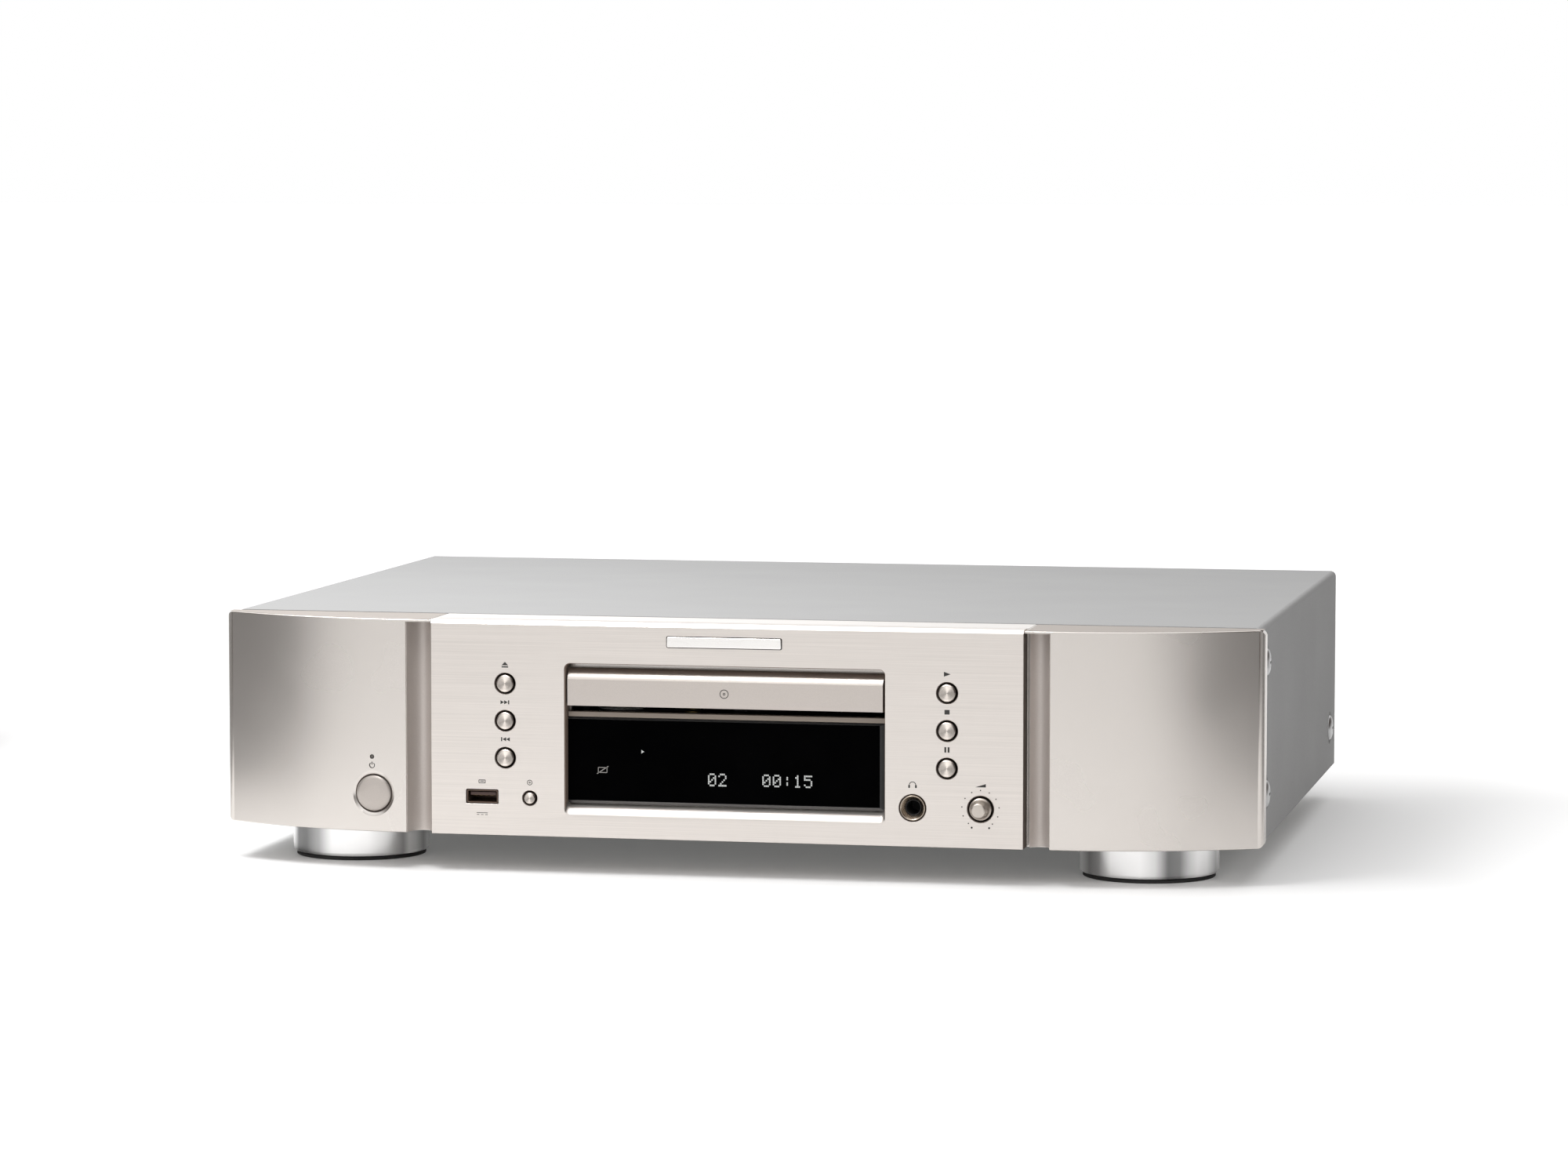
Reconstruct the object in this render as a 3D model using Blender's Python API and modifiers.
"""Full-width hi-fi CD player: case, front controls, tray loader, disc drive, boards and rear sockets.

Metres, +Z up. The origin is on the table under the middle of the player. The front faces -Y and +X is to
the right, seen from the front. Every sub-part is one named object, and a moving one has its origin on the
axis of its joint.
"""

import math

import bmesh
import bpy
from mathutils import Vector

# Driving sizes
WIDTH = 0.440
DEPTH = 0.341
HEIGHT = 0.105
KNOB_PROUD = 0.006
SOCKET_PROUD = 0.008
FOOT_HEIGHT = 0.0155
GAP = 0.0003
SHEET = 0.0012
WALL = 0.0025

# Main planes, worked out from them
FRONT = -DEPTH / 2 + KNOB_PROUD
REAR = DEPTH / 2 - SOCKET_PROUD
BASE = FOOT_HEIGHT
TOP = HEIGHT
HALF = WIDTH / 2

# Front panel
PLATE_HALF = 0.1245
PLATE_THICK = 0.009
FASCIA_DEPTH = 0.030
FASCIA_TOP = TOP - 0.0003
WING_INNER = 0.1355
WING_RADIUS = 0.165
WING_CORNER = 0.0025
FLANK_START = FRONT + 0.0215
COVE_CAP = 0.001
FASCIA_BACK = FRONT + FASCIA_DEPTH
SEAT = FRONT + PLATE_THICK + GAP

# Window in the plate, for the tray door and the display
WINDOW_HALF = 0.0672
WINDOW_LOW = 0.0244
WINDOW_HIGH = 0.0871
SILL_DROP = 0.0042
DISPLAY_HIGH = 0.0649
WINDOW_CORNER = 0.0025

# Controls on the front: (x, z)
BUTTON_X_LEFT = -0.0927
BUTTON_X_RIGHT = 0.0931
BUTTON_ROWS = (0.0788, 0.0633, 0.0479)
BUTTON_RADIUS = 0.0037
BUTTON_HOLE = 0.0045
INPUT_SPOT = (-0.0823, 0.0313)
INPUT_RADIUS = 0.0025
INPUT_HOLE = 0.0032
USB_SPOT = (-0.1027, 0.0315)
USB_HALF_WIDTH = 0.0066
USB_HALF_HEIGHT = 0.0027
PHONES_SPOT = (0.0789, 0.0314)
PHONES_HOLE = 0.0055
LEVEL_SPOT = (0.1070, 0.0316)
LEVEL_HOLE = 0.0057
POWER_SPOT = (-0.1499, 0.0315)
POWER_RADIUS = 0.0076
POWER_HOLE = 0.0080
POWER_DISH = 0.0094
LED_SPOT = (-0.1504, 0.0469)
LED_RADIUS = 0.0008

# Cover and screws
COVER_HALF = 0.2175
COVER_FRONT = FASCIA_BACK + GAP
CHASSIS_HALF = COVER_HALF - SHEET - 0.0008
SCREW_HEAD = 0.0055
DISH_RADIUS = 0.0085
SCREW_SPOTS = {
    "front_upper": (FRONT + 0.052, 0.0890),
    "front_lower": (FRONT + 0.052, 0.0345),
    "rear_lower": (FRONT + 0.305, 0.0345),
}

# Feet
FOOT_RADIUS = 0.0290
FOOT_X = 0.1695
FOOT_Y = (FRONT + 0.0490, REAR - 0.0450)
PAD_HEIGHT = 0.0014

# Disc loader
DISC_Y = FRONT + 0.070
DISC_RECESS = 0.0607
DISC_LEVEL = 0.0743
SMALL_RECESS = 0.0406
TRAY_HALF = 0.0640
TRAY_FRONT = FRONT + 0.0055
TRAY_BACK = FRONT + 0.172
TRAY_LOW = 0.0705
TRAY_HIGH = 0.0785
TRAY_SLOT = 0.0240
RACK_LOW = 0.0676
DOOR_HALF = 0.0668
DOOR_LOW = 0.0702
DOOR_HIGH = 0.0857
DOOR_FACE = FRONT + 0.0010
FRAME_FLOOR = 0.0620
FRAME_FLOOR_TOP = 0.0640
FRAME_TOP = 0.0840
FRAME_INSIDE = 0.0650
FRAME_OUTSIDE = 0.0680
FRAME_FRONT = FRONT + 0.033
FRAME_BACK = FRONT + 0.190

# Gears: both run in a rack
TEETH = 14
PITCH_RADIUS = 0.0070
TOOTH_TOP = 0.0008
TOOTH_ROOT = 0.0010
TOOTH_PITCH = 2 * math.pi * PITCH_RADIUS / TEETH
LOADING_GEAR = (-0.0520, FRONT + 0.038)
MOTOR_PULLEY = (-0.0220, FRONT + 0.042)
PULLEY_RADIUS = 0.0098
MOTOR_PULLEY_RADIUS = 0.0030

# Disc drive that hangs in the loader
DRIVE_HALF = 0.0350
DRIVE_FRONT = FRONT + 0.052
DRIVE_BACK = FRONT + 0.158
DRIVE_LOW = 0.0605
DRIVE_HIGH = 0.0630
DRIVE_PIVOT_Y = DRIVE_BACK - 0.002
PICKUP_Y = DISC_Y + 0.024
PICKUP_TRAVEL = 0.034
RAIL_X = -0.0090
RAIL_Z = 0.0668
RAIL_RADIUS = 0.0015
FEED_RACK_X = 0.0140
FEED_GEAR = (FEED_RACK_X + PITCH_RADIUS, PICKUP_Y + 0.006)

# Boards, display and sockets
TUBE_HALF = 0.0550
TUBE_LOW = 0.0340
TUBE_HIGH = 0.0600
BOARD_THICK = 0.0016
FRONT_BOARD_Y = FRONT + 0.0220
BOARD_Z = 0.0260
SOCKET_Z = 0.0420
SOCKET_RADIUS = 0.0042
ANALOGUE_X = (0.1500, 0.1640)
DIGITAL_X = (0.1160,)
OPTICAL_X = 0.0940
INLET_SPOT = (-0.1600, 0.0440)

ROUND = 24
SMALL_ROUND = 16

parts = None
cutters = None


# Scene and materials

def clear_scene():
    for thing in list(bpy.data.objects):
        bpy.data.objects.remove(thing, do_unlink=True)


def new_collection(name):
    group = bpy.data.collections.new(name)
    bpy.context.scene.collection.children.link(group)
    return group


def material(name, colour, roughness, metallic):
    made = bpy.data.materials.new(name)
    made.use_nodes = True
    shader = made.node_tree.nodes["Principled BSDF"]
    shader.inputs["Base Color"].default_value = (*colour, 1.0)
    shader.inputs["Roughness"].default_value = roughness
    shader.inputs["Metallic"].default_value = metallic
    return made


def finish_part(thing, made, smooth=False):
    """Puts a finished object in the parts collection with its own material."""
    for group in list(thing.users_collection):
        group.objects.unlink(thing)
    parts.objects.link(thing)
    thing.data.materials.clear()
    thing.data.materials.append(made)
    if smooth:
        thing.data.shade_smooth()
        thing.data.set_sharp_from_angle(angle=math.radians(35))
    return thing


def as_cutter(thing):
    for group in list(thing.users_collection):
        group.objects.unlink(thing)
    cutters.objects.link(thing)
    thing.hide_render = True
    thing.display_type = "WIRE"
    return thing


# Shapes

def new_object(name, mesh, location=(0, 0, 0), rotation=(0, 0, 0)):
    thing = bpy.data.objects.new(name, mesh)
    thing.location = location
    thing.rotation_euler = rotation
    bpy.context.scene.collection.objects.link(thing)
    return thing


def box(name, low, high, bevel=0.0, segments=2):
    """An upright box between two corners, with its origin at its centre."""
    size = Vector(high) - Vector(low)
    shape = bmesh.new()
    bmesh.ops.create_cube(shape, size=1.0)
    bmesh.ops.scale(shape, vec=size, verts=shape.verts)
    if bevel:
        bmesh.ops.bevel(shape, geom=shape.edges, offset=bevel, segments=segments, affect="EDGES", profile=0.5)
    mesh = bpy.data.meshes.new(name)
    shape.to_mesh(mesh)
    shape.free()
    return new_object(name, mesh, (Vector(low) + Vector(high)) / 2)


AXIS_TURN = {
    "Z": (0, 0, 0),
    "Y": (math.pi / 2, 0, 0),
    "X": (math.pi / 2, 0, math.pi / 2),
}


def prism(name, loops, low, high, axis="Z", about=(0, 0)):
    """A flat outline with holes, made thick from low to high along an axis.

    The outline is (x, y) for axis Z, (x, z) for axis Y and (y, z) for axis X, measured from about.
    """
    curve = bpy.data.curves.new(name, "CURVE")
    curve.dimensions = "2D"
    curve.fill_mode = "BOTH"
    curve.extrude = (high - low) / 2
    for loop in loops:
        spline = curve.splines.new("POLY")
        spline.points.add(len(loop) - 1)
        for point, (across, up) in zip(spline.points, loop):
            point.co = (across - about[0], up - about[1], 0, 1)
        spline.use_cyclic_u = True
    flat = new_object(name, curve)
    graph = bpy.context.evaluated_depsgraph_get()
    mesh = bpy.data.meshes.new_from_object(flat.evaluated_get(graph))
    bpy.data.objects.remove(flat, do_unlink=True)
    bpy.data.curves.remove(curve)
    shape = bmesh.new()
    shape.from_mesh(mesh)
    bmesh.ops.remove_doubles(shape, verts=shape.verts, dist=0.00001)
    shape.to_mesh(mesh)
    shape.free()
    mesh.name = name
    middle = (low + high) / 2
    place = {"Z": (*about, middle), "Y": (about[0], middle, about[1]), "X": (middle, *about)}[axis]
    return new_object(name, mesh, place, AXIS_TURN[axis])


FACING = {
    "up": (0, 0, 0),
    "front": (math.pi / 2, 0, 0),
    "rear": (-math.pi / 2, 0, 0),
    "right": (0, math.pi / 2, 0),
    "left": (0, -math.pi / 2, 0),
}


def turned(name, profile, location, facing="up", segments=ROUND):
    """A turned shape: (radius, height) points down its outer side, turned about its own Z axis."""
    mesh = bpy.data.meshes.new(name)
    points = [(radius, 0, height) for radius, height in profile]
    edges = [(index, index + 1) for index in range(len(points) - 1)]
    mesh.from_pydata(points, edges, [])
    thing = new_object(name, mesh, location, FACING[facing])
    screw = thing.modifiers.new("turn", "SCREW")
    screw.axis = "Z"
    screw.angle = 2 * math.pi
    screw.steps = segments
    screw.render_steps = segments
    screw.use_merge_vertices = True
    screw.merge_threshold = 0.00001
    return thing


def rod(name, location, radius, length, facing="up", segments=SMALL_ROUND):
    """A plain round bar that starts at location and runs the way it faces."""
    profile = [(0, length), (radius, length), (radius, 0), (0, 0)]
    return turned(name, profile, location, facing, segments)


def boolean(target, tool, operation):
    change = target.modifiers.new(tool.name, "BOOLEAN")
    change.operation = operation
    change.solver = "EXACT"
    change.object = as_cutter(tool)


def cut(target, *tools):
    for tool in tools:
        boolean(target, tool, "DIFFERENCE")


def join(target, *tools):
    for tool in tools:
        boolean(target, tool, "UNION")


# Outlines

def arc(centre, radius, start, end, steps):
    """Points along an arc, with angles in degrees."""
    points = []
    for step in range(steps + 1):
        angle = math.radians(start + (end - start) * step / steps)
        points.append((centre[0] + radius * math.cos(angle), centre[1] + radius * math.sin(angle)))
    return points


def circle(centre, radius, segments=ROUND):
    return arc(centre, radius, 0, 360, segments)[:-1]


def rectangle(low, high, corner=0.0, steps=4):
    """A rectangle between two corners, with round corners where corner is not zero."""
    if not corner:
        return [low, (high[0], low[1]), high, (low[0], high[1])]
    left, bottom = low[0] + corner, low[1] + corner
    right, top = high[0] - corner, high[1] - corner
    points = arc((right, bottom), corner, -90, 0, steps)
    points += arc((right, top), corner, 0, 90, steps)
    points += arc((left, top), corner, 90, 180, steps)
    points += arc((left, bottom), corner, 180, 270, steps)
    return points


def mirrored(half):
    """A whole outline from its right half, whose first and last points are on the middle line."""
    other = [(-x, y) for x, y in reversed(half) if x > 0]
    return half + other


def gear_outline(centre):
    """A spur gear's outline, with one tooth that points along +X."""
    points = []
    step = 2 * math.pi / TEETH
    for tooth in range(TEETH):
        for radius, side in (
            (PITCH_RADIUS - TOOTH_ROOT, -0.25),
            (PITCH_RADIUS + TOOTH_TOP, -0.10),
            (PITCH_RADIUS + TOOTH_TOP, 0.10),
            (PITCH_RADIUS - TOOTH_ROOT, 0.25),
        ):
            angle = (tooth + side) * step
            points.append((centre[0] + radius * math.cos(angle), centre[1] + radius * math.sin(angle)))
    return points


def rack_outline(pitch_x, toward, gear_y, start, end, back):
    """A rack along Y whose teeth point toward -X or +X and leave a gap level with gear_y."""
    tip = pitch_x + toward * TOOTH_TOP
    root = pitch_x - toward * TOOTH_ROOT
    points = [(back, start), (root, start)]
    first = math.ceil((start + TOOTH_PITCH - gear_y) / TOOTH_PITCH - 0.5)
    count = math.floor((end - start - 2 * TOOTH_PITCH) / TOOTH_PITCH)
    for index in range(first, first + count):
        middle = gear_y + (index + 0.5) * TOOTH_PITCH
        points.append((root, middle - 0.25 * TOOTH_PITCH))
        points.append((tip, middle - 0.10 * TOOTH_PITCH))
        points.append((tip, middle + 0.10 * TOOTH_PITCH))
        points.append((root, middle + 0.25 * TOOTH_PITCH))
    points += [(root, end), (back, end)]
    return points


# Case

def bottom_chassis():
    """A folded steel floor with low side walls."""
    high = BASE + 0.012
    inner = CHASSIS_HALF - SHEET
    half = [(0, BASE), (CHASSIS_HALF, BASE), (CHASSIS_HALF, high), (inner, high), (inner, BASE + SHEET),
            (0, BASE + SHEET)]
    thing = prism("bottom_chassis", [mirrored(half)], COVER_FRONT, REAR - SHEET - GAP, "Y")
    return finish_part(thing, material("zinc_steel", (0.60, 0.60, 0.58), 0.45, 1.0))


def top_cover():
    """A folded sheet cover: top and two sides, with a shallow dish round each side screw."""
    outer = arc((COVER_HALF - 0.0025, TOP - 0.0025), 0.0025, 0, 90, 5)
    inner = arc((COVER_HALF - 0.0025, TOP - 0.0025), 0.0025 - SHEET, 90, 0, 5)
    half = [(COVER_HALF, BASE)] + outer + [(0, TOP)]
    inside = [(0, TOP - SHEET)] + inner + [(COVER_HALF - SHEET, BASE)]
    outline = half + [(-x, z) for x, z in reversed(half[:-1])]
    outline += [(-x, z) for x, z in reversed(inside[1:])] + inside
    thing = prism("top_cover", [outline], COVER_FRONT, REAR, "Y")
    for side, facing in ((1, "right"), (-1, "left")):
        for spot, (y, z) in SCREW_SPOTS.items():
            dish = [(0, 0.002), (DISH_RADIUS + 0.0012, 0.002), (DISH_RADIUS, 0.0), (SCREW_HEAD + 0.0012, -0.0007),
                    (0.0020, -0.0007), (0.0020, -0.006), (0, -0.006)]
            cut(thing, turned(f"dish_{facing}_{spot}", dish, (side * COVER_HALF, y, z), facing, 16))
    return finish_part(thing, material("cover_paint", (0.56, 0.56, 0.56), 0.45, 0.6))


def side_screws():
    """Large pan-head screws that hold the cover to the chassis, three on each side."""
    steel = material("bright_screw", (0.80, 0.80, 0.80), 0.25, 1.0)
    for side, facing in ((1, "right"), (-1, "left")):
        for spot, (y, z) in SCREW_SPOTS.items():
            floor = -0.0007 + GAP
            profile = [(0, 0.0016), (0.0030, 0.0014), (SCREW_HEAD - 0.0006, 0.0007), (SCREW_HEAD, 0.0001),
                       (SCREW_HEAD, floor), (0.0016, floor), (0.0016, -0.0055), (0, -0.0055)]
            head = turned(f"side_screw_{facing}_{spot}", profile, (side * COVER_HALF, y, z), facing, 12)
            finish_part(head, steel, smooth=True)


def rear_panel():
    """The rear plate, with an opening for each socket."""
    low = (-CHASSIS_HALF, BASE + SHEET + GAP)
    high = (CHASSIS_HALF, TOP - SHEET - GAP)
    loops = [rectangle(low, high)]
    for x in ANALOGUE_X + DIGITAL_X:
        loops.append(circle((x, SOCKET_Z), SOCKET_RADIUS + 0.0006, 24))
    loops.append(rectangle(*around((OPTICAL_X, SOCKET_Z), 0.0062, 0.0055)))
    loops.append(rectangle(*around(INLET_SPOT, 0.0130, 0.0088)))
    thing = prism("rear_panel", loops, REAR - SHEET, REAR, "Y")
    return finish_part(thing, material("rear_paint", (0.03, 0.03, 0.03), 0.5, 0.3))


def around(centre, half_width, half_height):
    """The two corners of a rectangle round a centre."""
    low = (centre[0] - half_width, centre[1] - half_height)
    high = (centre[0] + half_width, centre[1] + half_height)
    return low, high


def feet():
    """Four large plated feet with a rubber pad under each."""
    chrome = material("foot_plating", (0.78, 0.78, 0.78), 0.12, 1.0)
    rubber = material("foot_rubber", (0.02, 0.02, 0.02), 0.8, 0.0)
    top = BASE - GAP
    rim = PAD_HEIGHT + GAP
    body = [(0, top), (FOOT_RADIUS - 0.0008, top), (FOOT_RADIUS, top - 0.0008), (FOOT_RADIUS, rim + 0.0008),
            (FOOT_RADIUS - 0.0008, rim), (0, rim)]
    pad = [(0, PAD_HEIGHT), (FOOT_RADIUS - 0.0015, PAD_HEIGHT), (FOOT_RADIUS - 0.0015, 0.0), (0, 0.0)]
    for row, y in zip(("front", "rear"), FOOT_Y):
        for side, x in (("left", -FOOT_X), ("right", FOOT_X)):
            foot = turned(f"foot_{row}_{side}", body, (x, y, 0), segments=32)
            finish_part(foot, chrome, smooth=True)
            sole = turned(f"foot_pad_{row}_{side}", pad, (x, y, 0), segments=24)
            finish_part(sole, rubber, smooth=True)


# Front

def fascia_half(inset):
    """The right half of the fascia's plan outline, or of its hollow when inset is not zero."""
    centre = (WING_INNER, FRONT + 0.0002 + WING_RADIUS)
    radius = WING_RADIUS - inset
    flank = HALF - inset
    reach = math.degrees(math.asin((flank - WING_CORNER - centre[0]) / radius))
    wing = arc(centre, radius, -90, -90 + reach, 18)
    if inset:
        points = [(0, SEAT + inset), (WING_INNER + inset, SEAT + inset), (WING_INNER + inset, wing[1][1])]
        points += [point for point in wing if point[0] > WING_INNER + inset]
    else:
        points = [(0, SEAT), (PLATE_HALF + GAP, SEAT), (PLATE_HALF + GAP, FRONT + 0.0010)] + wing
    corner = wing[-1]
    points += arc((corner[0], corner[1] + WING_CORNER), WING_CORNER, -60, 0, 4)
    back = FASCIA_BACK + (0.001 if inset else 0.0)
    points += [(flank, back), (0, back)]
    return points


def cove_cutter(side):
    """The concave groove between the plate and a wing, left closed by a thin cap at the top."""
    middle = side * (PLATE_HALF + GAP + WING_INNER) / 2
    reach = (WING_INNER - PLATE_HALF - GAP) / 2
    loop = [(middle + reach, FRONT - 0.002)]
    for step in range(17):
        angle = math.pi * step / 16
        loop.append((middle + reach * math.cos(angle), FRONT + 0.001 + 0.0088 * math.sin(angle)))
    loop.append((middle - reach, FRONT - 0.002))
    name = "cove_right" if side > 0 else "cove_left"
    return prism(name, [loop], BASE - 0.002, FASCIA_TOP - COVE_CAP, "Z")


def front_fascia():
    """The moulded front: two curved wings, a cove beside each, and a seat for the metal plate."""
    thing = prism("front_fascia", [mirrored(fascia_half(0.0))], BASE, FASCIA_TOP, "Z")
    hollow = prism("fascia_hollow", [mirrored(fascia_half(WALL))], BASE + WALL, FASCIA_TOP - WALL, "Z")
    cut(thing, hollow, cove_cutter(1), cove_cutter(-1))
    front, back = FRONT - 0.002, SEAT + WALL + 0.001
    tray_slot = rectangle((-TRAY_HALF - 0.0012, RACK_LOW - 0.0005), (TRAY_HALF + 0.0012, TRAY_HIGH + 0.0015))
    cut(thing, prism("tray_slot", [tray_slot], front, back, "Y"))
    tube_hole = rectangle((-TUBE_HALF - 0.002, TUBE_LOW - 0.002), (TUBE_HALF + 0.002, TUBE_HIGH + 0.002))
    cut(thing, prism("tube_hole", [tube_hole], front, back, "Y"))
    for index, (spot, hole) in enumerate(control_holes(wider=0.0003)):
        cut(thing, rod(f"fascia_hole_{index}", (spot[0], back, spot[1]), hole, back - front, "front", 24))
    usb = rectangle(*around(USB_SPOT, USB_HALF_WIDTH + GAP, USB_HALF_HEIGHT + GAP))
    cut(thing, prism("fascia_usb", [usb], front, back, "Y"))
    dish = [(0, 0.004), (POWER_DISH + 0.0008, 0.004), (POWER_DISH, -0.0007), (POWER_HOLE, -0.0018),
            (POWER_HOLE, -0.012), (0, -0.012)]
    cut(thing, turned("power_dish", dish, (POWER_SPOT[0], FRONT, POWER_SPOT[1]), "front", 32))
    cut(thing, rod("led_hole", (LED_SPOT[0], back, LED_SPOT[1]), LED_RADIUS + GAP, back - front, "front", 16))
    cut(thing, *end_corner_cutters())
    return finish_part(thing, material("fascia_paint", (0.62, 0.57, 0.53), 0.38, 0.5))


def end_corner_cutters():
    """Four slivers that round the upper and lower corners of the fascia's two ends."""
    tools = []
    radius, clear = 0.0030, 0.00005
    for side in (-1, 1):
        for level, z in ((-1, BASE), (1, FASCIA_TOP)):
            centre = (side * (HALF - radius + clear), z - level * (radius - clear))
            quarter = [(centre[0] + side * x, centre[1] + level * up) for x, up in arc((0, 0), radius, 0, 90, 5)]
            quarter.append((side * (HALF + 0.001), z + level * 0.001))
            name = f"end_corner_{side + 1}_{level + 1}"
            tools.append(prism(name, [quarter], FRONT - 0.005, FASCIA_BACK + 0.005, "Y"))
    return tools


def control_holes(wider=0.0):
    """Every round hole behind the plate, as a place and a radius."""
    holes = [((x, z), BUTTON_HOLE + wider) for x in (BUTTON_X_LEFT, BUTTON_X_RIGHT) for z in BUTTON_ROWS]
    holes.append((INPUT_SPOT, INPUT_HOLE + wider))
    holes.append((PHONES_SPOT, PHONES_HOLE + wider))
    holes.append((LEVEL_SPOT, LEVEL_HOLE + wider))
    return holes


def centre_panel():
    """The thick aluminium plate, with its window, a sloping sill under it and a chamfered top edge."""
    loops = [rectangle((-PLATE_HALF, BASE), (PLATE_HALF, TOP))]
    loops.append(rectangle((-WINDOW_HALF, WINDOW_LOW + SILL_DROP), (WINDOW_HALF, WINDOW_HIGH), WINDOW_CORNER))
    loops += [circle(spot, hole) for spot, hole in control_holes()]
    loops.append(rectangle(*around(USB_SPOT, USB_HALF_WIDTH + GAP, USB_HALF_HEIGHT + GAP)))
    thing = prism("centre_panel", loops, FRONT, FRONT + PLATE_THICK, "Y")
    cut(thing, sill_cutter(), top_edge_cutter())
    return finish_part(thing, material("plate_aluminium", (0.76, 0.71, 0.67), 0.35, 0.9))


def sill_cutter():
    """A round-cornered prism that leans up as it goes in, so the window has a slope under it."""
    low = (-WINDOW_HALF, WINDOW_LOW)
    high = (WINDOW_HALF, WINDOW_HIGH - 2 * SILL_DROP)
    reach = SILL_DROP + 0.001
    tool = prism("sill_slope", [rectangle(low, high, WINDOW_CORNER)], FRONT - 0.001, FRONT + reach, "Y")
    for point in tool.data.vertices:
        inward = FRONT - (tool.location.y - point.co.z)
        point.co.y -= inward
    return tool


def top_edge_cutter():
    """A long bar laid along the plate's top front edge at 45 degrees."""
    side = 0.0016 * math.sqrt(2)
    tool = box("top_edge", (-HALF, -side / 2, -side / 2), (HALF, side / 2, side / 2))
    tool.location = (0, FRONT, TOP)
    tool.rotation_euler = (math.radians(45), 0, 0)
    return tool


def button(name, spot, radius, hole, made):
    """A round push button: a dished face, a shank, a flange behind the fascia and a stem to its switch."""
    flange = -(SEAT - FRONT + WALL + 0.0012)
    profile = [(0, 0.0008), (radius * 0.75, 0.0009), (radius - 0.0003, 0.0007), (radius, 0.0003),
               (radius, flange), (hole + 0.0013, flange), (hole + 0.0013, flange - 0.001),
               (0.0012, flange - 0.001), (0.0012, -(FRONT_BOARD_Y - FRONT) + 0.0014),
               (0, -(FRONT_BOARD_Y - FRONT) + 0.0014)]
    thing = turned(name, profile, (spot[0], FRONT, spot[1]), "front", 20)
    return finish_part(thing, made, smooth=True)


def front_buttons():
    metal = material("button_metal", (0.80, 0.77, 0.74), 0.28, 1.0)
    left = ("eject_button", "skip_forward_button", "skip_back_button")
    right = ("play_button", "stop_button", "pause_button")
    for names, x in ((left, BUTTON_X_LEFT), (right, BUTTON_X_RIGHT)):
        for name, z in zip(names, BUTTON_ROWS):
            button(name, (x, z), BUTTON_RADIUS, BUTTON_HOLE, metal)
    button("input_button", INPUT_SPOT, INPUT_RADIUS, INPUT_HOLE, metal)


def power_button():
    """The large round power button in its dished surround."""
    board = -(FRONT_BOARD_Y - FRONT)
    profile = [(0, 0.0004), (POWER_RADIUS * 0.6, 0.0002), (POWER_RADIUS - 0.0010, -0.0004),
               (POWER_RADIUS, -0.0012), (POWER_RADIUS, -0.0100), (0.0020, -0.0100), (0.0020, board + 0.0022),
               (0, board + 0.0022)]
    thing = turned("power_button", profile, (POWER_SPOT[0], FRONT, POWER_SPOT[1]), "front", 28)
    return finish_part(thing, material("power_button_paint", (0.62, 0.57, 0.53), 0.32, 0.6), smooth=True)


def power_led():
    """A thin light guide from the board to the wing's face."""
    length = FRONT_BOARD_Y - FRONT - 0.0015
    thing = rod("power_led", (LED_SPOT[0], FRONT_BOARD_Y - 0.0008, LED_SPOT[1]), LED_RADIUS, length, "front", 12)
    return finish_part(thing, material("led_lens", (0.10, 0.10, 0.10), 0.3, 0.0), smooth=True)


def level_knob():
    """The small headphone level knob on its shaft."""
    profile = [(0, KNOB_PROUD), (0.0033, KNOB_PROUD), (0.0039, KNOB_PROUD - 0.0006), (0.0045, 0.0010),
               (0.0048, 0.0002), (0.0048, -0.0050), (0.0030, -0.0050), (0.0030, -0.0150), (0, -0.0150)]
    thing = turned("level_knob", profile, (LEVEL_SPOT[0], FRONT, LEVEL_SPOT[1]), "front", 24)
    return finish_part(thing, material("knob_metal", (0.66, 0.62, 0.58), 0.35, 1.0), smooth=True)


def level_potentiometer():
    """The turning control behind the knob, on the front board."""
    x, z = LEVEL_SPOT
    thing = box("level_potentiometer", (x - 0.0055, FRONT + 0.0155, z - 0.0060),
                (x + 0.0055, FRONT_BOARD_Y - GAP, z + 0.0060), 0.0006)
    return finish_part(thing, material("potentiometer_case", (0.10, 0.13, 0.20), 0.5, 0.0))


def phones_jack():
    """A headphone socket: a flared ring in the plate and a blind barrel behind it."""
    ring, bore = 0.0053, 0.0033
    back = GAP - (FRONT_BOARD_Y - FRONT)
    floor = back + 0.0014
    profile = [(0, floor), (bore, floor), (bore, -0.0022), (0.0040, -0.0010), (ring - 0.0007, 0.0003),
               (ring, -0.0002), (ring, back), (0, back)]
    thing = turned("phones_jack", profile, (PHONES_SPOT[0], FRONT, PHONES_SPOT[1]), "front", 28)
    return finish_part(thing, material("jack_nickel", (0.62, 0.60, 0.56), 0.25, 1.0), smooth=True)


def usb_port():
    """A type A socket: a folded steel shell with a contact tongue inside."""
    outer = rectangle(*around(USB_SPOT, USB_HALF_WIDTH, USB_HALF_HEIGHT))
    inner = rectangle(*around(USB_SPOT, USB_HALF_WIDTH - 0.0004, USB_HALF_HEIGHT - 0.0004))
    back = FRONT + 0.0165
    thing = prism("usb_port", [outer, inner], FRONT + 0.0004, back, "Y")
    x, z = USB_SPOT
    wide = USB_HALF_WIDTH - 0.0002
    high = USB_HALF_HEIGHT - 0.0002
    join(thing, box("usb_back", (x - wide, back - 0.0012, z - high), (x + wide, back - 0.0002, z + high)))
    join(thing, box("usb_tongue", (x - 0.0055, FRONT + 0.0024, z + 0.0004), (x + 0.0055, back - 0.0008, z + 0.0017)))
    return finish_part(thing, material("usb_steel", (0.45, 0.40, 0.36), 0.35, 1.0))


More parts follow.
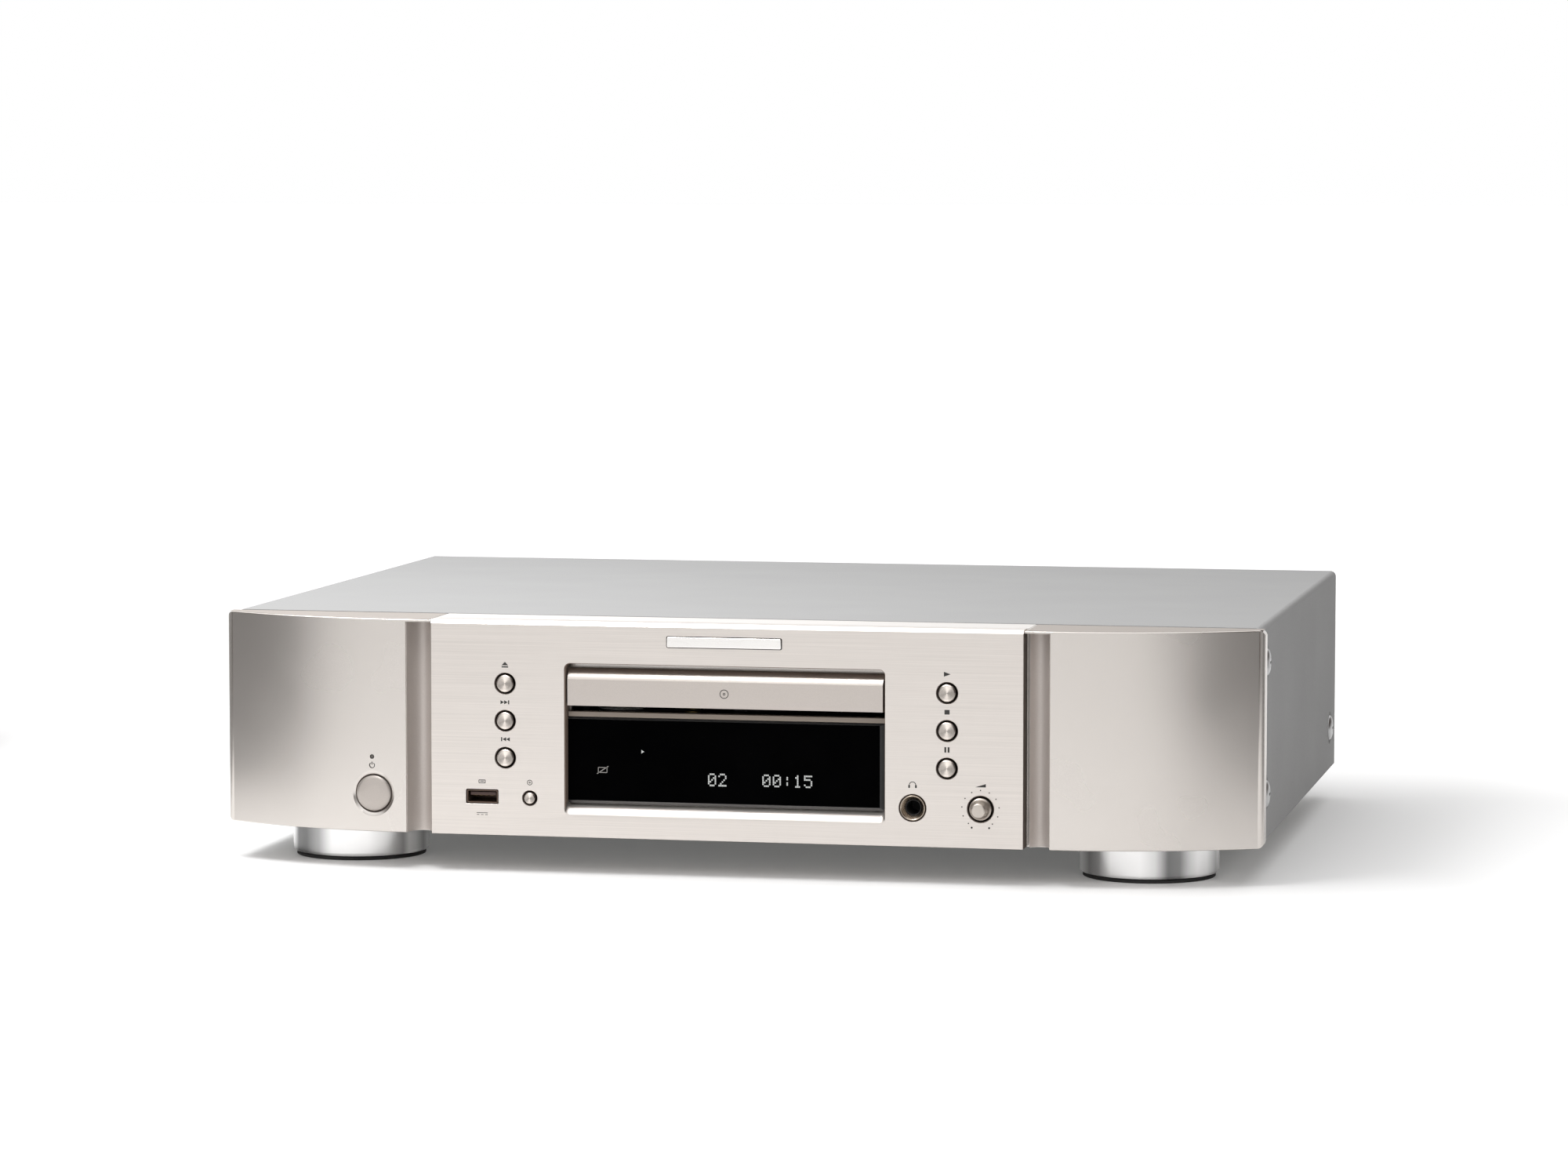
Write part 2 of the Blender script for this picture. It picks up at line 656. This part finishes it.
def window_shelf():
    """The narrow moulded shelf between the tray door and the display."""
    low = (-WINDOW_HALF + GAP, FRONT + 0.0045, DISPLAY_HIGH + 0.0004)
    high = (WINDOW_HALF - GAP, FRONT + PLATE_THICK, RACK_LOW - 0.0002)
    thing = box("window_shelf", low, high, 0.0003, 1)
    return finish_part(thing, material("shelf_paint", (0.28, 0.23, 0.20), 0.5, 0.2))


def display_window():
    """The black glossy filter in front of the display, with a bevelled edge."""
    low = (-WINDOW_HALF + 0.0006, FRONT + 0.0050, WINDOW_LOW + SILL_DROP + 0.0004)
    high = (WINDOW_HALF - 0.0006, FRONT + 0.0080, DISPLAY_HIGH)
    thing = box("display_window", low, high, 0.0010, 1)
    return finish_part(thing, material("display_black", (0.005, 0.005, 0.005), 0.08, 0.0))


def display_tube():
    """The flat glass display tube behind the filter."""
    low = (-TUBE_HALF, FRONT + 0.0100, TUBE_LOW)
    high = (TUBE_HALF, FRONT_BOARD_Y - 0.001, TUBE_HIGH)
    thing = box("display_tube", low, high, 0.0008)
    return finish_part(thing, material("tube_glass", (0.10, 0.11, 0.11), 0.1, 0.0))


def front_circuit_board():
    """The board behind the controls. It is notched over the display so that the tray can pass."""
    left, right = -0.1640, 0.1190
    low, high = 0.0210, 0.0900
    notch, notch_low = 0.0695, 0.0640
    loop = [(left, low), (right, low), (right, high), (notch, high), (notch, notch_low), (-notch, notch_low),
            (-notch, high), (left, high)]
    thing = prism("front_circuit_board", [loop], FRONT_BOARD_Y, FRONT_BOARD_Y + BOARD_THICK, "Y")
    return finish_part(thing, material("board_green", (0.02, 0.16, 0.06), 0.5, 0.0))


# Disc loader

def disc_tray():
    """The sliding tray: two disc recesses, a slot for the drive that is open at the back, and a rack below."""
    outline = rectangle((-TRAY_HALF, TRAY_FRONT), (TRAY_HALF, TRAY_BACK), 0.003, 3)
    thing = prism("disc_tray", [outline], TRAY_LOW, TRAY_HIGH, "Z", (0, TRAY_BACK))
    recess = [(0, 0.0120), (DISC_RECESS, 0.0120), (DISC_RECESS, 0.0), (SMALL_RECESS, 0.0),
              (SMALL_RECESS, -0.0014), (0, -0.0014)]
    cut(thing, turned("disc_recess", recess, (0, DISC_Y, DISC_LEVEL), segments=48))
    slot = [(TRAY_SLOT, TRAY_BACK + 0.005), (TRAY_SLOT, DISC_Y)]
    slot += arc((0, DISC_Y), TRAY_SLOT, 0, -180, 16)[1:-1]
    slot += [(-TRAY_SLOT, DISC_Y), (-TRAY_SLOT, TRAY_BACK + 0.005)]
    cut(thing, prism("drive_slot", [slot], TRAY_LOW - 0.001, TRAY_HIGH + 0.001, "Z"))
    gear_x, gear_y = LOADING_GEAR
    teeth = rack_outline(gear_x + PITCH_RADIUS, -1, gear_y, FRONT + 0.030, TRAY_BACK - 0.0005,
                         gear_x + PITCH_RADIUS + 0.0045)
    join(thing, prism("loading_rack", [teeth], RACK_LOW, TRAY_LOW + 0.0005, "Z"))
    return finish_part(thing, material("tray_plastic", (0.03, 0.03, 0.03), 0.45, 0.0))


def tray_door():
    """The metal door on the tray's front, with a wide bevel on top and a narrow one at each end."""
    back = TRAY_FRONT - GAP
    profile = [(DOOR_FACE, DOOR_LOW), (back, DOOR_LOW), (back, DOOR_HIGH), (DOOR_FACE + 0.0037, DOOR_HIGH),
               (DOOR_FACE + 0.0014, DOOR_HIGH - 0.0018), (DOOR_FACE, DOOR_HIGH - 0.0045)]
    thing = prism("tray_door", [profile], -DOOR_HALF, DOOR_HALF, "X", (back, DOOR_LOW))
    for side in (-1, 1):
        reach = 0.0016 * math.sqrt(2) / 2
        tool = box(f"door_end_{side + 1}", (-reach, -reach, -0.02), (reach, reach, 0.02))
        tool.location = (side * DOOR_HALF, DOOR_FACE, (DOOR_LOW + DOOR_HIGH) / 2)
        tool.rotation_euler = (0, 0, math.radians(45))
        cut(thing, tool)
    return finish_part(thing, material("door_aluminium", (0.60, 0.55, 0.52), 0.35, 0.9))


def loader_frame():
    """The moulded frame that guides the tray and stands on the chassis on its four corners."""
    foot = BASE + SHEET + GAP
    half = [(0, FRAME_FLOOR), (FRAME_INSIDE, FRAME_FLOOR), (FRAME_INSIDE, foot), (FRAME_OUTSIDE, foot),
            (FRAME_OUTSIDE, FRAME_TOP), (FRAME_INSIDE, FRAME_TOP), (FRAME_INSIDE, FRAME_FLOOR_TOP),
            (0, FRAME_FLOOR_TOP)]
    thing = prism("loader_frame", [mirrored(half)], FRAME_FRONT, FRAME_BACK, "Y")
    arch = rectangle((FRAME_FRONT + 0.014, foot - 0.005), (FRAME_BACK - 0.014, 0.0540), 0.004, 3)
    cut(thing, prism("frame_arch", [arch], -0.1, 0.1, "X"))
    well = rectangle((-0.0385, DRIVE_FRONT - 0.004), (0.0385, DRIVE_BACK + 0.004), 0.003, 3)
    cut(thing, prism("drive_well", [well], FRAME_FLOOR - 0.001, FRAME_FLOOR_TOP + 0.001, "Z"))
    cut(thing, rod("motor_shaft_hole", (*MOTOR_PULLEY, FRAME_FLOOR - 0.001), 0.0020, 0.004))
    cut(thing, rod("gear_pin_hole", (*LOADING_GEAR, FRAME_FLOOR - 0.001), 0.0018, 0.004))
    return finish_part(thing, material("frame_plastic", (0.05, 0.05, 0.05), 0.6, 0.0))


def loading_gear():
    """The gear that drives the tray's rack, in one piece with its belt pulley and its pin."""
    low = RACK_LOW + 0.0001
    thing = prism("loading_gear", [gear_outline(LOADING_GEAR)], low, TRAY_LOW - GAP, "Z", LOADING_GEAR)
    groove = PULLEY_RADIUS - 0.0010
    profile = [(0, low + 0.0005), (groove - 0.003, low + 0.0005), (groove - 0.003, 0.0664),
               (PULLEY_RADIUS, 0.0664), (PULLEY_RADIUS, 0.0659), (groove, 0.0657), (groove, 0.0649),
               (PULLEY_RADIUS, 0.0647), (PULLEY_RADIUS, 0.0643), (0.0015, 0.0643), (0.0015, FRAME_FLOOR),
               (0, FRAME_FLOOR)]
    profile = [(radius, height - 0.0685) for radius, height in profile]
    join(thing, turned("gear_pulley", profile, (*LOADING_GEAR, 0.0685), segments=20))
    return finish_part(thing, material("gear_plastic", (0.80, 0.80, 0.76), 0.5, 0.0))


def motor_pulley():
    """The small pulley on the loading motor's shaft."""
    groove = MOTOR_PULLEY_RADIUS
    rim = MOTOR_PULLEY_RADIUS + 0.0010
    profile = [(0, 0.0668), (rim, 0.0668), (rim, 0.0659), (groove, 0.0657), (groove, 0.0649), (rim, 0.0647),
               (rim, 0.0643), (0.0013, 0.0643), (0.0013, FRAME_FLOOR), (0, FRAME_FLOOR)]
    profile = [(radius, height - FRAME_FLOOR_TOP) for radius, height in profile]
    thing = turned("motor_pulley", profile, (*MOTOR_PULLEY, FRAME_FLOOR_TOP), segments=20)
    return finish_part(thing, material("pulley_brass", (0.65, 0.52, 0.25), 0.35, 1.0), smooth=True)


def belt_loop(offset):
    """The line of a belt round both pulleys, offset outward from their grooves."""
    big = PULLEY_RADIUS - 0.0010 + offset
    small = MOTOR_PULLEY_RADIUS + offset
    along = Vector(MOTOR_PULLEY) - Vector(LOADING_GEAR)
    heading = math.degrees(math.atan2(along.y, along.x))
    lean = math.degrees(math.acos((big - small) / along.length))
    loop = arc(LOADING_GEAR, big, heading + lean, heading + 360 - lean, 20)
    loop += arc(MOTOR_PULLEY, small, heading - lean, heading + lean, 10)
    return loop


def drive_belt():
    """The rubber belt between the two pulleys."""
    thing = prism("drive_belt", [belt_loop(0.0011), belt_loop(0.0003)], 0.0650, 0.0656, "Z")
    return finish_part(thing, material("belt_rubber", (0.02, 0.02, 0.02), 0.7, 0.0))


def loading_motor():
    """The small can motor under the frame's floor."""
    thing = rod("loading_motor", (*MOTOR_PULLEY, 0.0480), 0.0098, FRAME_FLOOR - 0.001 - 0.0480, segments=28)
    return finish_part(thing, material("motor_can", (0.60, 0.60, 0.60), 0.35, 1.0), smooth=True)


def traverse_plate():
    """The drive's base plate. It hangs in the frame on a pivot at its back and holds the guide rail."""
    outline = rectangle((-DRIVE_HALF, DRIVE_FRONT), (DRIVE_HALF, DRIVE_BACK))
    thing = prism("traverse_plate", [outline], DRIVE_LOW, DRIVE_HIGH, "Z", (0, DRIVE_PIVOT_Y))
    for index, y in enumerate((DISC_Y + 0.0065, DRIVE_BACK - 0.006)):
        post = rectangle((RAIL_X - 0.003, DRIVE_HIGH - 0.001), (RAIL_X + 0.003, RAIL_Z + 0.003))
        hole = circle((RAIL_X, RAIL_Z), RAIL_RADIUS + GAP, 16)
        join(thing, prism(f"rail_post_{index}", [post, hole], y - 0.0015, y + 0.0015, "Y"))
    cut(thing, rod("spindle_hole", (0, DISC_Y, DRIVE_LOW - 0.001), 0.0030, 0.006))
    cut(thing, rod("feed_pin_hole", (*FEED_GEAR, DRIVE_LOW - 0.001), 0.0018, 0.006))
    return finish_part(thing, material("traverse_steel", (0.50, 0.50, 0.50), 0.4, 1.0))


def spindle_motor():
    """The flat motor under the drive plate."""
    low = 0.0500
    thing = rod("spindle_motor", (0, DISC_Y, low), 0.0130, DRIVE_LOW - GAP - low, segments=32)
    return finish_part(thing, material("motor_can_spindle", (0.60, 0.60, 0.60), 0.35, 1.0), smooth=True)


def turntable():
    """The hub that the disc sits on, with its spindle."""
    seat = 0.0746
    profile = [(0, 0.0768), (0.0050, 0.0768), (0.0073, 0.0758), (0.0073, seat), (0.0140, seat), (0.0140, 0.0732),
               (0.0050, 0.0726), (0.0050, DRIVE_HIGH + 0.0006), (0.0020, DRIVE_HIGH + 0.0006),
               (0.0020, DRIVE_LOW + 0.0003), (0, DRIVE_LOW + 0.0003)]
    profile = [(radius, height - seat) for radius, height in profile]
    thing = turned("turntable", profile, (0, DISC_Y, seat))
    return finish_part(thing, material("hub_plastic", (0.04, 0.04, 0.04), 0.4, 0.0), smooth=True)


def guide_rail():
    """The ground steel rod that the pickup slides along."""
    start = DISC_Y + 0.0040
    thing = rod("guide_rail", (RAIL_X, start, RAIL_Z), RAIL_RADIUS, DRIVE_BACK - 0.003 - start, "rear", 16)
    return finish_part(thing, material("rail_steel", (0.75, 0.75, 0.75), 0.2, 1.0), smooth=True)


def optical_pickup():
    """The laser sled: a body bored for the rail, a lens on top and a rack along one side."""
    loop = rectangle((-0.0130, 0.0645), (0.0125, 0.0698))
    bore = circle((RAIL_X, RAIL_Z), RAIL_RADIUS + 0.0002, 16)
    low, high = PICKUP_Y - 0.0110, PICKUP_Y + 0.0110
    thing = prism("optical_pickup", [loop, bore], low, high, "Y", (0, RAIL_Z))
    join(thing, turned("lens", [(0, 0.0034), (0.0020, 0.0033), (0.0038, 0.0026), (0.0050, 0.0010),
                                (0.0050, -0.0010), (0, -0.0010)], (0, PICKUP_Y, 0.0698), segments=24))
    start = FEED_GEAR[1] - PICKUP_TRAVEL - 0.0045
    teeth = rack_outline(FEED_RACK_X, 1, FEED_GEAR[1], start, FEED_GEAR[1] + 0.0050, 0.0115)
    join(thing, prism("feed_rack", [teeth], 0.0655, 0.0690, "Z"))
    return finish_part(thing, material("pickup_black", (0.06, 0.06, 0.07), 0.4, 0.2))


def feed_gear():
    """The gear that moves the pickup's rack."""
    thing = prism("feed_gear", [gear_outline(FEED_GEAR)], 0.0657, 0.0688, "Z", FEED_GEAR)
    profile = [(0, 0.0010), (0.0040, 0.0010), (0.0040, -0.0036), (0.0015, -0.0036), (0.0015, -0.0062), (0, -0.0062)]
    join(thing, turned("feed_pin", profile, (*FEED_GEAR, 0.0672), segments=20))
    return finish_part(thing, material("feed_gear_plastic", (0.80, 0.80, 0.76), 0.5, 0.0))


def clamp_bridge():
    """The bridge over the tray that carries the clamper."""
    low = FRAME_TOP + GAP
    outline = rectangle((-FRAME_OUTSIDE, DISC_Y - 0.022), (FRAME_OUTSIDE, DISC_Y + 0.022), 0.004, 3)
    thing = prism("clamp_bridge", [outline, circle((0, DISC_Y), 0.0150)], low, low + 0.0020, "Z")
    return finish_part(thing, material("bridge_steel", (0.60, 0.60, 0.58), 0.4, 1.0))


def disc_clamper():
    """The puck that presses the disc on to the hub, hung in the bridge by its flange."""
    top = FRAME_TOP + GAP + 0.0020 + 0.0003
    profile = [(0, top + 0.0022), (0.0175, top + 0.0022), (0.0180, top + 0.0017), (0.0180, top), (0.0140, top),
               (0.0140, 0.0762), (0.0090, 0.0762), (0.0090, 0.0785), (0, 0.0785)]
    profile = [(radius, height - top) for radius, height in profile]
    thing = turned("disc_clamper", profile, (0, DISC_Y, top))
    return finish_part(thing, material("clamper_plastic", (0.75, 0.75, 0.73), 0.5, 0.0), smooth=True)


# Electronics


def mainboard():
    """The audio and digital board on the right of the case."""
    loop = rectangle((0.0740, -0.0850), (0.2050, REAR - 0.0130))
    thing = prism("mainboard", [loop], BOARD_Z, BOARD_Z + BOARD_THICK, "Z")
    return finish_part(thing, material("board_brown", (0.10, 0.18, 0.05), 0.5, 0.0))


def power_board():
    """The supply board on the left, behind the transformer."""
    loop = rectangle((-0.2050, 0.0000), (-0.0740, REAR - 0.0220))
    thing = prism("power_board", [loop], BOARD_Z, BOARD_Z + BOARD_THICK, "Z")
    return finish_part(thing, material("board_tan", (0.30, 0.20, 0.08), 0.5, 0.0))


def transformer():
    """A laminated core with two windows, and the winding round its middle leg."""
    x, y = -0.1450, -0.0550
    low = BASE + SHEET + GAP
    half, leg, rim, height, thick = 0.0300, 0.0090, 0.0080, 0.0480, 0.0260
    loops = [rectangle((x - half, low), (x + half, low + height))]
    for side in (-1, 1):
        inner, outer = sorted((x + side * leg, x + side * (half - rim)))
        loops.append(rectangle((inner, low + rim), (outer, low + height - rim)))
    core = prism("transformer_core", loops, y - thick / 2, y + thick / 2, "Y")
    finish_part(core, material("core_laminations", (0.12, 0.12, 0.13), 0.55, 0.6))
    coil = half - rim - 0.0008
    outside = rectangle((x - coil, y - thick / 2 - 0.012), (x + coil, y + thick / 2 + 0.012), 0.004, 3)
    inside = rectangle((x - leg - 0.0006, y - thick / 2 - 0.0006), (x + leg + 0.0006, y + thick / 2 + 0.0006))
    coil_low, coil_high = low + rim + 0.0006, low + height - rim - 0.0006
    winding = prism("transformer_winding", [outside, inside], coil_low, coil_high, "Z")
    finish_part(winding, material("winding_tape", (0.55, 0.45, 0.10), 0.5, 0.0))


def filter_capacitor():
    """A large electrolytic capacitor on the supply board."""
    low = BOARD_Z + BOARD_THICK + GAP
    profile = [(0, 0.0400), (0.0110, 0.0400), (0.0125, 0.0388), (0.0125, 0), (0, 0)]
    thing = turned("filter_capacitor", profile, (-0.1300, 0.0400, low), segments=28)
    return finish_part(thing, material("capacitor_sleeve", (0.02, 0.02, 0.04), 0.35, 0.0), smooth=True)


def socket_group(name, places, made):
    """Round phono sockets that share one block behind the rear panel."""
    inside = REAR - SHEET - GAP
    low = (places[0] - 0.0068, inside - 0.0105, SOCKET_Z - 0.0075)
    high = (places[-1] + 0.0068, inside, SOCKET_Z + 0.0075)
    thing = box(name, low, high)
    for index, x in enumerate(places):
        barrel = [(0, -0.0090), (0.0016, -0.0090), (0.0016, 0), (SOCKET_RADIUS, 0),
                  (SOCKET_RADIUS, inside - 0.002 - DEPTH / 2), (0, inside - 0.002 - DEPTH / 2)]
        join(thing, turned(f"{name}_barrel_{index}", barrel, (x, DEPTH / 2, SOCKET_Z), "rear", 20))
    return finish_part(thing, made)


def rear_sockets():
    gold = material("socket_gold", (0.75, 0.58, 0.25), 0.3, 1.0)
    socket_group("analogue_output_jacks", ANALOGUE_X, gold)
    socket_group("digital_output_jack", DIGITAL_X, gold)


def optical_output_jack():
    """The square optical socket."""
    low, high = around((OPTICAL_X, SOCKET_Z), 0.0055, 0.0048)
    thing = box("optical_output_jack", (low[0], REAR - 0.0120, low[1]), (high[0], REAR + 0.0015, high[1]), 0.0004, 1)
    mouth = rectangle(*around((OPTICAL_X, SOCKET_Z), 0.0033, 0.0033), 0.0008, 2)
    cut(thing, prism("optical_mouth", [mouth], REAR - 0.0060, REAR + 0.0050, "Y"))
    return finish_part(thing, material("socket_plastic", (0.03, 0.03, 0.03), 0.5, 0.0))


def ac_inlet():
    """A two-pin mains inlet: a recessed well with its pins in a flanged block."""
    x, z = INLET_SPOT
    thing = box("ac_inlet", (x - 0.0125, REAR - 0.0200, z - 0.0083), (x + 0.0125, REAR + 0.0015, z + 0.0083), 0.0006, 1)
    well = arc((x + 0.0046, z), 0.0050, -90, 90, 8) + arc((x - 0.0046, z), 0.0050, 90, 270, 8)
    cut(thing, prism("inlet_well", [well], REAR - 0.0130, REAR + 0.0050, "Y"))
    for index, side in enumerate((-1, 1)):
        pin = rod(f"inlet_pin_{index}", (x + side * 0.0043, REAR - 0.0140, z), 0.0012, 0.0110, "rear", 12)
        join(thing, pin)
    return finish_part(thing, material("inlet_plastic", (0.03, 0.03, 0.03), 0.5, 0.0))


def build():
    bottom_chassis()
    top_cover()
    side_screws()
    rear_panel()
    feet()
    front_fascia()
    centre_panel()
    front_buttons()
    power_button()
    power_led()
    level_knob()
    level_potentiometer()
    phones_jack()
    usb_port()
    window_shelf()
    display_window()
    display_tube()
    front_circuit_board()
    disc_tray()
    tray_door()
    loader_frame()
    loading_gear()
    motor_pulley()
    drive_belt()
    loading_motor()
    traverse_plate()
    spindle_motor()
    turntable()
    guide_rail()
    optical_pickup()
    feed_gear()
    clamp_bridge()
    disc_clamper()
    mainboard()
    power_board()
    transformer()
    filter_capacitor()
    rear_sockets()
    optical_output_jack()
    ac_inlet()


clear_scene()
parts = new_collection("cd_player")
cutters = new_collection("cutters")
build()
